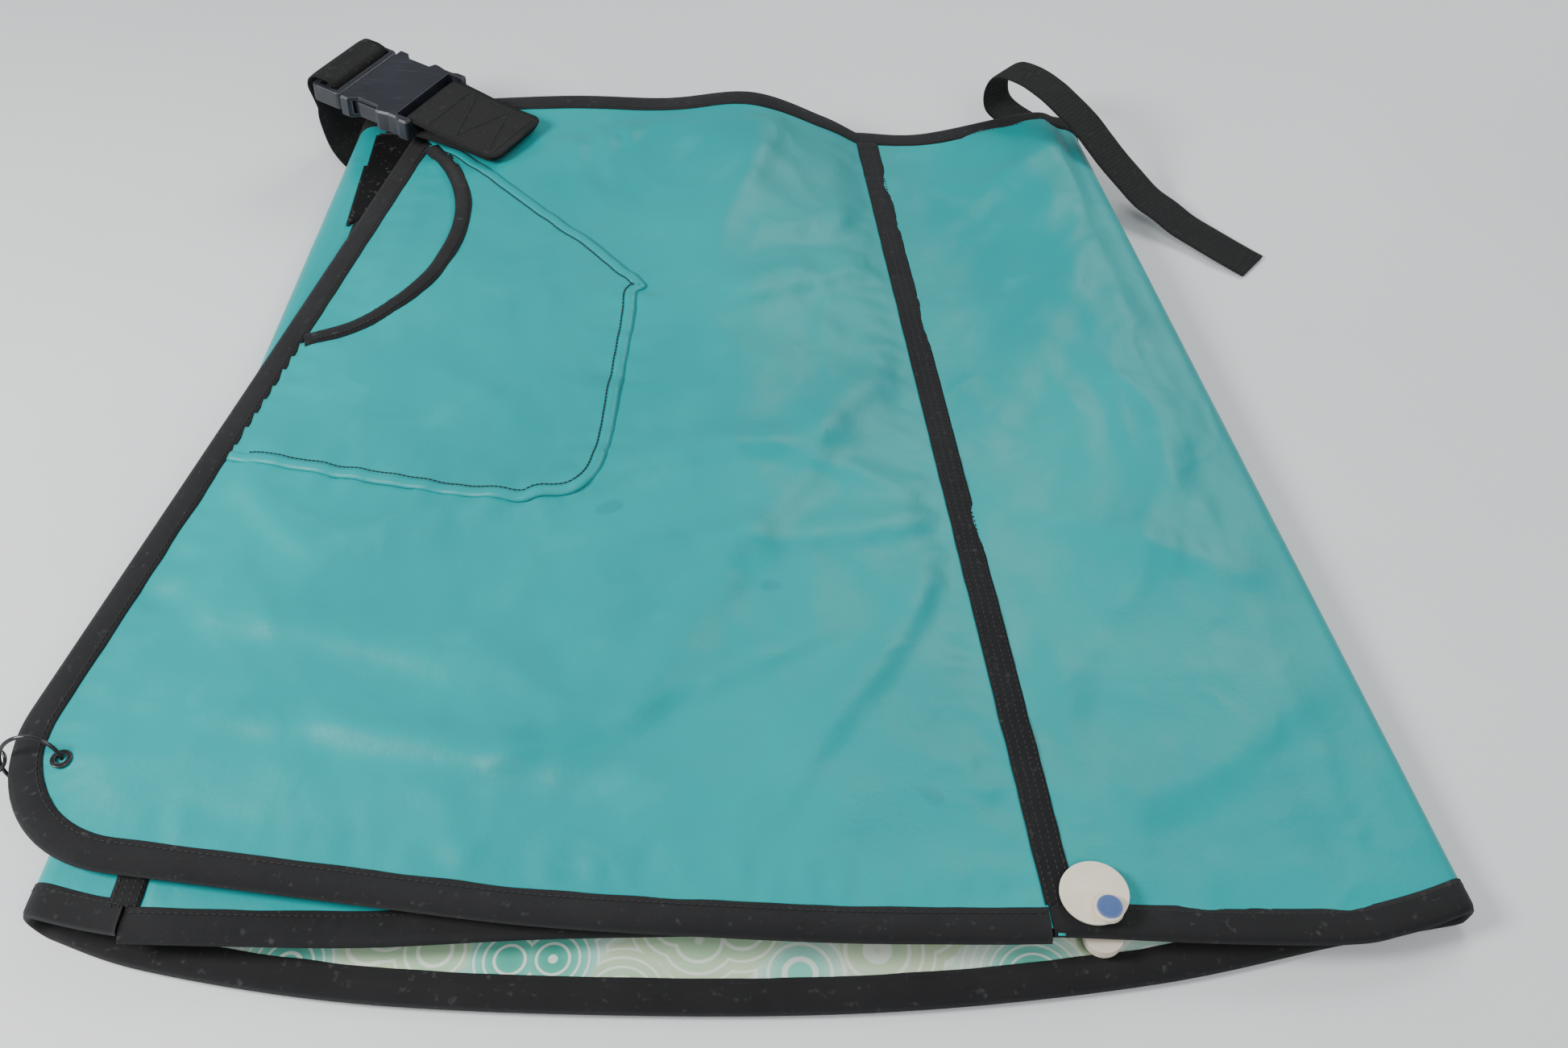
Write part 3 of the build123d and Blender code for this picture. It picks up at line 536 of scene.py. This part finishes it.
def moulded(name, tone, rough=(0.32, 0.6), edge=0.5, grain=500.0, scratch=0.35):
    """Moulded plastic: a little grain, scratches, and edges painted pale, part rubbed wear and part painted edge
    highlight.
    """
    m = Nodes(name)
    near = m.add("ShaderNodeBevel", Radius=0.0012)
    shape = m.add("ShaderNodeNewGeometry")
    dot = m.add("ShaderNodeVectorMath", operation="DOT_PRODUCT")
    m.link(near.outputs[0], dot.inputs[0])
    m.link(shape.outputs["Normal"], dot.inputs[1])
    # Every edge is painted pale from the bevel normal: partly rubbed wear, partly a painted highlight along the edges;
    # edge sets how pale.
    rubbed_and_highlit_edge = m.ramp(dot.outputs["Value"], (0.86, (edge,) * 3), (0.995, (0, 0, 0)))
    marks = m.ramp(m.noise(85.0, 8.0, stretch=(1, 6, 1)), (0.58, (0, 0, 0)), (0.72, (scratch,) * 3))
    pale = tuple(min(1.0, c * 3 + 0.12) for c in tone)
    base = m.mix(tone, tuple(c * 1.5 + 0.01 for c in tone), m.noise(40.0))
    m.colour(m.mix(m.mix(base, pale, marks), tuple(min(1.0, c * 2 + 0.3) for c in tone), rubbed_and_highlit_edge))
    m.rough(m.noise(60.0, 5.0), *rough)
    m.bump((m.noise(grain, 3.0), 0.12, 0.0004))
    return m.material


TEAL, TAPE, LINING = teal_nylon(), black_tape(), printed_lining()
BAND = black_tape("seam_band_tape", 0.9)
WEBBING, ELASTIC = ribbed_webbing("webbing", 1.0), ribbed_webbing("elastic", 0.8, 0.35, 0.8)
THREAD = moulded("thread", (0.008, 0.008, 0.009), (0.5, 0.8), edge=0.0, scratch=0.0)
HOOKS = ribbed_webbing("hook_pile", 0.5, 1.4, 0.9)
PLASTIC = moulded("buckle_plastic", (0.009, 0.011, 0.017), (0.3, 0.55), edge=0.2, scratch=0.12)
RING = moulded("ring_enamel", (0.006, 0.006, 0.007), (0.08, 0.25), edge=0.15, scratch=0.1)
IVORY = moulded("tag_ivory", (0.62, 0.56, 0.44), (0.3, 0.55), edge=0.3, scratch=0.3)
BLUE = moulded("tag_blue", (0.045, 0.09, 0.24), (0.3, 0.5), edge=0.3, scratch=0.3)


# ---- the outer flap ----------------------------------------------------------------------------------------------

def flap_z(x, y):
    return height(FLAP_LINES, x, y)


def under_z(x, y):
    return height(UNDER_LINES, x, y)


def wrap_z(x, y):
    return height(WRAP_LINES, x, y)


def left_z(x, y):
    return along(BASE_Z, y) + 2 * along(LEFT_R, y)


def front_z(x, y):
    """The top of the outer flap, or of the back panel's wrap beyond the seam."""
    return flap_z(x, y) if x < along(SEAM_RIGHT, y) else wrap_z(x, y) - 0.1


def seam_points(pair, near, far, shift=0.0, step=2.0):
    ys = np.arange(near, far, step)
    return np.array([(along(pair, y) + shift, y) for y in ys])


flap_edge = outline(FLAP_EDGE, FLAP_CORNER, FLAP_HEM)
flap_seam = seam_points(SEAM_RIGHT, -8.0, WAIST_Y, 7.0)
flap_polygon = np.vstack([outline(FLAP_EDGE, FLAP_CORNER, FLAP_HEM, 4.0)[3:], flap_seam])
flap_polygon = flap_polygon[flap_polygon[:, 1] < WAIST_Y - 3]
mouth_line = even(smooth(MOUTH, 60), 2.0)
pocket_line = even(smooth(POCKET, 120), 2.0)
flap_shell = draped("outer_flap_cloth", flap_polygon, front_z, TEAL,
                    seams=((seam_points(SEAM_RIGHT, 0.0, WAIST_Y, -6.0), 3.0),
                           (outline(FLAP_EDGE, FLAP_CORNER, FLAP_HEM, 20.0), 11.0), (pocket_line, 17.0)))
flap_top = surface_of(flap_shell)
thicken(flap_shell, 0.5)
flap_lining = draped("outer_flap_lining_cloth", flap_polygon, lambda x, y: flap_z(x, y) - PANEL, LINING, cell=8.0,
                     ruffle=0.0)
thicken(flap_lining, 0.4, 1.0)


def edge_tape(name, route, top, side, seed, material=TAPE):
    """Binding along a plan route on a front layer whose top face is top."""
    way = np.gradient(route, axis=0)
    way /= np.linalg.norm(way, axis=1)[:, None]
    inward = np.stack([-way[:, 1], way[:, 0]], 1) * side
    deep = route + inward * 14.0
    z = np.array([top(*p) for p in route]) - PANEL / 2
    rise = (np.array([top(*p) for p in deep]) - PANEL / 2 - z) / 14.0
    edge = np.column_stack([route, z])
    flat = np.column_stack([inward, rise])
    flat /= np.linalg.norm(flat, axis=1)[:, None]
    up = np.cross(np.column_stack([way, np.gradient(z)]), flat)
    up /= np.linalg.norm(up, axis=1)[:, None]
    up *= np.sign(up[:, 2:3])
    piece = tape(name, edge, flat, up, material, seed=seed)
    row = edge + flat * (TAPE_WIDTH - 2.6) + up * (PANEL / 2 + 0.75)
    return piece, (row, up)


def waist_route(first, last, step=2.0):
    return np.array([(x, WAIST_Y) for x in np.linspace(first, last, int(abs(last - first) / step))])


rows = []
for name, route, top, side, seed in (
        ("outer_flap_edge_tape", flap_edge, flap_z, 1.0, 1.0),
        ("outer_flap_waist_tape", waist_route(along(SEAM_RIGHT, WAIST_Y) - 0.4, FLAP_EDGE[0]), flap_z, 1.0, 2.0),
        ("under_flap_edge_tape", outline(UNDER_EDGE, UNDER_CORNER, UNDER_HEM), under_z, -1.0, 3.0),
        ("under_flap_waist_tape", waist_route(along(SEAM_LEFT, WAIST_Y), UNDER_EDGE[0]), under_z, -1.0, 4.0)):
    piece, row = edge_tape(name, route, top, side, seed)
    rows.append(row)

under_seam = seam_points(SEAM_LEFT, -7.0, WAIST_Y)
under_polygon = np.vstack([outline(UNDER_EDGE, UNDER_CORNER, UNDER_HEM, 4.0)[3:], under_seam])
under_polygon = under_polygon[under_polygon[:, 1] < WAIST_Y - 3]
under_shell = thicken(draped("under_flap_cloth", under_polygon, under_z, TEAL, cell=6.0, ruffle=0.1), 0.5)
under_lining = thicken(draped("under_flap_lining_cloth", under_polygon, lambda x, y: under_z(x, y) - PANEL, LINING,
                              cell=8.0, ruffle=0.0), 0.4, 1.0)

# ---- the back panel ----------------------------------------------------------------------------------------------

STATIONS = 150
sample = loop(0.0)
COUNT = len(sample)


def loop_sheet(name, depth, material, creased, gap):
    """The back panel's cloth: a sheet ruled along the loop, from gap inside its hem to gap inside its waist."""
    verts, faces = [], []
    for j in range(STATIONS + 1):
        t = j / STATIONS
        for k in range(COUNT):
            x0 = loop_cache(0.0, depth)[k][0]
            y0 = hem_y(k, x0) + gap
            y = y0 + (WAIST_Y - gap - y0) * t
            x, z = loop_cache(round(y, 1), depth)[k]
            if creased and k > COUNT - 62:
                ease = min(1.0, max(0.0, (min(y - y0, WAIST_Y - y, (COUNT - 1 - k) * 2.2, (k - COUNT + 62) * 2) - 2) / 24))
                z += creases(x, y) * ease
            verts.append((x, y, z))
    for j in range(STATIONS):
        for k in range(COUNT - 1):
            a = j * COUNT + k
            faces.append([a, a + COUNT, a + COUNT + 1, a + 1])
    return make(name, verts, faces, material)


CACHE = {}


def loop_cache(y, depth):
    if (y, depth) not in CACHE:
        CACHE[y, depth] = loop(y, depth)
    return CACHE[y, depth]


back_shell = thicken(loop_sheet("back_cloth", 0.0, TEAL, True, 4.0), 0.5, -1.0)
back_lining = thicken(loop_sheet("back_lining_cloth", PANEL, LINING, False, 4.0), 0.4, 1.0)


def loop_tape(name, at_hem, seed):
    """The binding along the back panel's hem or waist, round both folds."""
    middle, inner = [], []
    for k in range(COUNT):
        y = hem_y(k, sample[k][0]) if at_hem else WAIST_Y
        x, z = loop_cache(round(y, 1), PANEL / 2)[k]
        middle.append((x, y, z))
        step = 14.0 if at_hem else -14.0
        x, z = loop_cache(round(y + step, 1), PANEL / 2)[k]
        inner.append((x, y + step, z))
    middle, inner = np.array(middle), np.array(inner)
    run = np.concatenate([[0], np.cumsum(np.linalg.norm(np.diff(middle, axis=0), axis=1))])
    at = np.linspace(0, run[-1], int(run[-1] / 2.0))
    middle, inner = (np.stack([np.interp(at, run, v[:, c]) for c in range(3)], 1) for v in (middle, inner))
    flat = inner - middle
    flat /= np.linalg.norm(flat, axis=1)[:, None]
    way = np.gradient(middle, axis=0)
    out = np.cross(flat, way)
    out /= np.linalg.norm(out, axis=1)[:, None]
    if out[len(out) // 2][2] > 0:
        out = -out
    piece = tape(name, middle, flat, -out, TAPE, seed=seed)
    row = (middle + flat * (TAPE_WIDTH - 2.6) - out * (PANEL / 2 + 0.2), -out)
    outer_row = (middle + flat * (TAPE_WIDTH - 2.6) + out * (PANEL / 2 + 0.7), out)
    return piece, row, outer_row


hem_tape, hem_row, hem_outer = loop_tape("back_hem_tape", True, 5.0)
waist_tape, waist_row, waist_outer = loop_tape("back_waist_tape", False, 6.0)
rows += [hem_row, waist_row, hem_outer, waist_outer]
binding_stitches = stitches("binding_stitches", rows, THREAD, pitch=3.0, long=2.3, thick=0.55)

# ---- seam bands --------------------------------------------------------------------------------------------------

def seam_band(name, pair, first, last, top, near, seed):
    sections, dots = [], [[], [], [], []]
    for i, y in enumerate(np.arange(near, WAIST_Y - 13.0, 2.0)):
        wave = 0.5 * noise.noise(Vector((i * 0.12, seed, 0)))
        lift = 0.5 + 0.25 * noise.noise(Vector((i * 0.3, seed, 2)))
        xs = np.linspace(first + wave, last + wave, 7)
        x0 = along(pair, y)
        up = [(x0 + x, y, top(x0 + x, y) + lift + 0.5 * math.sin(math.pi * k / 6)) for k, x in enumerate(xs)]
        down = [(x0 + x, y, top(x0 + x, y) - 0.6) for x in xs[::-1]]
        sections.append(up + down)
        for row, share in zip(dots, (0.12, 0.37, 0.63, 0.88)):
            x = x0 + first + wave + (last - first) * share
            row.append((x, y, top(x, y) + lift + 0.35))
    band = strip(name, sections, BAND)
    return band, [(np.array(row), (0, 0, 1)) for row in dots]


right_band, right_rows = seam_band("right_seam_tape", SEAM_RIGHT, -1.0, 12.4, lambda x, y: front_z(x, y) + 0.3, 8.0,
                                   3.0)
left_band, left_rows = seam_band("left_seam_tape", SEAM_LEFT, -6.5, 6.5, left_z, 8.0, 7.0)
band_stitches = stitches("band_stitches", right_rows + left_rows, THREAD, pitch=2.8, long=1.7, thick=0.7)

# ---- pocket ------------------------------------------------------------------------------------------------------

inner_edge = outline(FLAP_EDGE, FLAP_CORNER, FLAP_HEM, TAPE_WIDTH - 1.0)
edge_run = inner_edge[: int(np.argmin(inner_edge[:, 1] > 120))]
pocket_outer = pocket_line[pocket_line[:, 0] > np.interp(pocket_line[:, 1], edge_run[::-1, 1], edge_run[::-1, 0])]
mouth_inside = mouth_line[mouth_line[:, 0] > np.interp(mouth_line[:, 1], edge_run[::-1, 1], edge_run[::-1, 0])]
low_edge = edge_run[(edge_run[:, 1] < mouth_inside[-1, 1]) & (edge_run[:, 1] > pocket_outer[-1, 1])]
pocket_polygon = np.vstack([pocket_outer, low_edge[::-1], mouth_inside[::-1]])
pocket_patch = draped("pocket_cloth", pocket_polygon, flap_top, TEAL, cell=2.5, lift=1.1, ruffle=0.0)
thicken(pocket_patch, 1.2)


pocket_top = surface_of(pocket_patch)


def on_flap(route, lift):
    return np.array([(x, y, pocket_top(x, y) + lift) for x, y in route])


def shrunk(route, amount):
    """The route moved sideways by amount, to its left as it runs."""
    way = np.gradient(route, axis=0)
    way /= np.linalg.norm(way, axis=1)[:, None]
    return route + np.stack([-way[:, 1], way[:, 0]], 1) * amount


pocket_stitch = stitches("pocket_stitches", [(on_flap(shrunk(pocket_outer, -5.5)[4:-4], 0.25), (0, 0, 1))], THREAD,
                         pitch=2.3, long=2.2, thick=0.9)
ridge_line = on_flap(shrunk(pocket_outer, -3.0), 0.0)
ridge_in = on_flap(shrunk(pocket_outer, -5.0), 0.0)
sections = []
for inner, p, (x, y) in zip(ridge_in, ridge_line, shrunk(pocket_outer, 1.2)):
    foot = np.array((x, y, flap_top(x, y) - 0.3))
    outward = (foot - p) * (1.0, 1.0, 0.0)
    outward /= np.linalg.norm(outward)
    sections.append([foot + (0, 0, 0.1), foot + (0, 0, p[2] - foot[2] - 0.1), p + outward * 2.0 + (0, 0, 0.55),
                     p + (0, 0, 0.6), p - outward * 1.6 + (0, 0, 0.2), inner - (0, 0, 0.4), p - (0, 0, 1.2)])
pocket_ridge = strip("pocket_folded_edge", sections, TEAL)
mouth_edge = on_flap(mouth_inside, -1.2)
sections = []
for i, p in enumerate(mouth_edge):
    way = mouth_edge[min(i + 1, len(mouth_edge) - 1)] - mouth_edge[max(i - 1, 0)]
    side = np.array([way[1], -way[0], 0.0])
    side /= np.linalg.norm(side)
    side *= -1 if side[0] < 0 else 1
    pucker = 0.4 * noise.noise(Vector((i * 0.3, 2.0, 0)))
    profile = [(-0.8, 0.6), (-0.3, 2.6), (2.0, 3.1 + pucker), (5.5, 2.9 + pucker), (8.4, 2.4), (9.0, 1.4), (4.0, 0.7)]
    sections.append([p + side * u + np.array([0, 0, v]) for u, v in profile])
mouth_tape = strip("pocket_mouth_tape", sections, TAPE)
mouth_row = stitches("pocket_mouth_stitches", [(on_flap(shrunk(mouth_inside, 6.6 if mouth_inside[1, 1] < mouth_inside[0, 1]
                     else -6.6)[2:-2], 1.9), (0, 0, 1))], THREAD, pitch=2.6, long=2.0, thick=0.6)

# ---- hook patch beside the waist corner --------------------------------------------------------------------------

patch_polygon = even([(-246, 438), (-243, 536), (-214, 540), (-216, 520), (-232, 452), (-246, 438)], 4.0)
hook_patch = thicken(draped("hook_patch", patch_polygon, left_z, HOOKS, cell=2.0, lift=1.3, ruffle=0.0), 1.2)

# ---- webbing, belt and strap -------------------------------------------------------------------------------------

BUCKLE_AT = np.array((-222.0, 543.0, 54.6))
TURN, PITCH = math.radians(29.0), math.radians(4.0)
AXIS = np.array((-math.cos(TURN) * math.cos(PITCH), math.sin(TURN) * math.cos(PITCH), math.sin(PITCH)))
UP = np.array((math.cos(TURN) * math.sin(PITCH), -math.sin(TURN) * math.sin(PITCH), math.cos(PITCH)))


def in_buckle(points):
    return np.array([BUCKLE_AT + AXIS * x + UP * z for x, z in points])


def arc_points(centre, radius, first, last, count=14):
    return [(centre[0] + radius * math.cos(math.radians(a)), centre[1] + radius * math.sin(math.radians(a)))
            for a in np.linspace(first, last, count)]


def facing(route):
    """The direction that webbing's outer face looks, for a route drawn in the buckle's side plane."""
    way = np.gradient(route, axis=0)
    side = np.cross(AXIS, UP)
    face = np.cross(side, way)
    return face / np.linalg.norm(face, axis=1)[:, None]


tab_plan = [*smooth([(-87, 1.5), (-60, 1.4), (-40, 3.3), (-23.75, 4.9)], 40), *arc_points((-23.75, 0), 4.9, 88, -88),
            *smooth([(-23.75, -4.9), (-40, -3.0), (-60, -0.6), (-86, -0.6)], 40)]
tab_route = even(in_buckle(tab_plan), 1.0)
buckle_tab = webbing("buckle_tab_webbing", tab_route, facing(tab_route), 50.0, 1.7, WEBBING, rib=1.9, soft_end=7.0)
side_way = np.cross(AXIS, UP)


def tab_rows():
    """A box of stitches with bars across it, on the tab's top face."""
    found = []
    lines = [[(-82, -20), (-82, 20)], [(-36, -20), (-36, 20)], [(-82, -20), (-36, -20)], [(-82, 20), (-36, 20)],
             [(-78, -18), (-66, 18)], [(-66, 18), (-54, -18)], [(-54, -18), (-42, 18)]]
    xs, zs = np.array(tab_plan)[:40, 0], np.array(tab_plan)[:40, 1]
    for a, b in lines:
        flat = even([a, b], 2.0)
        found.append((np.array([BUCKLE_AT + AXIS * x + UP * (np.interp(x, xs, zs) + 1.05) + side_way * y
                                for x, y in flat]), UP))
    return found


tab_stitches = stitches("tab_stitches", tab_rows(), THREAD, pitch=2.6, long=2.1, thick=0.7)

flat_axis = np.array((-math.cos(TURN), math.sin(TURN), 0.0))
drop = [np.array((BUCKLE_AT[0], BUCKLE_AT[1], 0.0)) + flat_axis * s + np.array((0, 0, z)) for s, z in
        smooth([(50.5, 44.0), (51.5, 32.0), (47.0, 13.0), (33.0, 1.4), (10.0, 1.0), (-72.0, 1.0)], 60)]
loop_side = in_buckle([(32.6, -8.0), (32.6, 0.0), (32.7, 5.0), *smooth([(33.4, 8.0), (38.0, 9.4), (46.0, 9.3)], 20),
                       *arc_points((45.0, 0.0), 9.3, 84, -30, 16)])
belt_route = even(smooth(np.vstack([loop_side[::2], drop[::3]]), 240), 1.2)
belt_route[:, 2] = np.maximum(belt_route[:, 2], 0.98)
belt = webbing("hip_belt_elastic", belt_route, facing(belt_route), 50.0, 1.7, ELASTIC, rib=1.6, groove=0.08,
               body=None)

strap_x = np.array((0.72, -0.694, 0.0))
strap_points = [(13, 21.5), (-4, 22.0), (-17, 27.0), (-20.3, 38.5), (-16, 50.0), (-4, 55.0), (24, 52.0), (48, 41.5),
                (72, 27.0), (98, 13.0), (116, 8.5), (130, 5.2), (146, 3.6), (160, 3.0), (180, 1.0)]
strap_route = even([np.array((165.0, 566.0, 0.0)) + strap_x * s + np.array((0, 0, z)) for s, z in
                    smooth(strap_points, 200)], 0.7)
sway = np.array([1.6 * noise.noise(Vector((i * 0.03, 0, 0))) for i in range(len(strap_route))])
strap_route += np.outer(sway, (0.694, 0.72, 0.0))
strap_side = np.array((0.694, 0.72, 0.0))
strap_way = np.gradient(strap_route, axis=0)
strap_face = np.cross(strap_side, strap_way)
strap_face = -strap_face if strap_face[-10][2] < 0 else strap_face
strap = webbing("waist_strap_webbing", strap_route, strap_face, 25.0, 1.4, WEBBING, rib=2.6, groove=0.22)

# ---- CAD pieces that stay, and what the soft pieces replace -----------------------------------------------------

for node, material in (("buckle_socket", PLASTIC), ("latch_frame", PLASTIC), ("latch_arm_a", PLASTIC),
                       ("latch_arm_b", PLASTIC), ("corner_eyelet", RING), ("corner_ring", RING), ("link_ring", RING),
                       ("tag_disc", IVORY), ("tag_pin", IVORY), ("tag_back", IVORY), ("tag_pin_cap", BLUE)):
    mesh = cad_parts[node].data
    mesh.materials.clear()
    mesh.materials.append(material)

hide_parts("outer_flap_shell", "outer_flap_outer_lead_sheet", "outer_flap_inner_lead_sheet")
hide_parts("outer_flap_lining")
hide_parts("under_flap_shell", "under_flap_outer_lead_sheet", "under_flap_inner_lead_sheet")
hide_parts("under_flap_lining")
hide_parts("back_shell", "back_outer_lead_sheet", "back_inner_lead_sheet")
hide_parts("back_lining")
for piece, node in (("outer_flap_edge_tape", "outer_flap_edge_binding"), ("right_seam_tape", "right_seam_band"),
                    ("outer_flap_waist_tape", "outer_flap_waist_binding"), ("left_seam_tape", "left_seam_band"),
                    ("under_flap_edge_tape", "under_flap_edge_binding"), ("back_hem_tape", "back_hem_binding"),
                    ("under_flap_waist_tape", "under_flap_waist_binding"), ("pocket_cloth", "pocket_patch"),
                    ("back_waist_tape", "back_waist_binding"), ("pocket_mouth_tape", "pocket_mouth_binding"),
                    ("buckle_tab_webbing", "buckle_tab"), ("waist_strap_webbing", "waist_strap")):
    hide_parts(node)
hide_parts("hip_belt", "hip_belt_loop")

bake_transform(belt)

# ---- stage -------------------------------------------------------------------------------------------------------

floor_look = Nodes("floor_look", Roughness=0.6)
floor_look.colour(floor_look.ramp(floor_look.noise(3.0), (0.3, (0.78, 0.79, 0.80)), (0.7, (0.84, 0.85, 0.86))))
floor_mesh = bpy.data.meshes.new("floor")
floor_mesh.from_pydata([(-4, -4, -0.0005), (4, -4, -0.0005), (4, 6, -0.0005), (-4, 6, -0.0005)], [], [[0, 1, 2, 3]])
floor_mesh.materials.append(floor_look.material)
floor = bpy.data.objects.new("floor", floor_mesh)
bpy.context.scene.collection.objects.link(floor)

world = bpy.data.worlds.new("studio")
world.use_nodes = True
world.node_tree.nodes["Background"].inputs[0].default_value = (0.93, 0.97, 1.0, 1.0)
world.node_tree.nodes["Background"].inputs[1].default_value = 0.38
bpy.context.scene.world = world


def softbox(name, place, target, size, power):
    light = bpy.data.lights.new(name, "AREA")
    light.shape, light.size, light.energy = "DISK", size, power
    lamp = bpy.data.objects.new(name, light)
    lamp.location = place
    lamp.rotation_euler = (Vector(target) - Vector(place)).to_track_quat("-Z", "Y").to_euler()
    bpy.context.scene.collection.objects.link(lamp)


softbox("key", (-0.95, -0.35, 0.85), (0.0, -0.05, 0.0), 0.45, 17.0)
softbox("front", (0.5, -1.1, 1.2), (0.0, -0.1, 0.0), 0.8, 9.0)
softbox("rim", (0.7, 1.0, 1.1), (0.0, 0.1, 0.0), 0.8, 9.0)

camera_data = bpy.data.cameras.new("camera")
camera_data.lens, camera_data.sensor_width = 35.0, 36.0
camera = bpy.data.objects.new("camera", camera_data)
camera.location = Vector((0.0134, -0.2892, 0.574)) + ORIGIN
camera.rotation_euler = (math.radians(90 - 47.7), 0.0, 0.0)
bpy.context.scene.collection.objects.link(camera)
bpy.context.scene.camera = camera
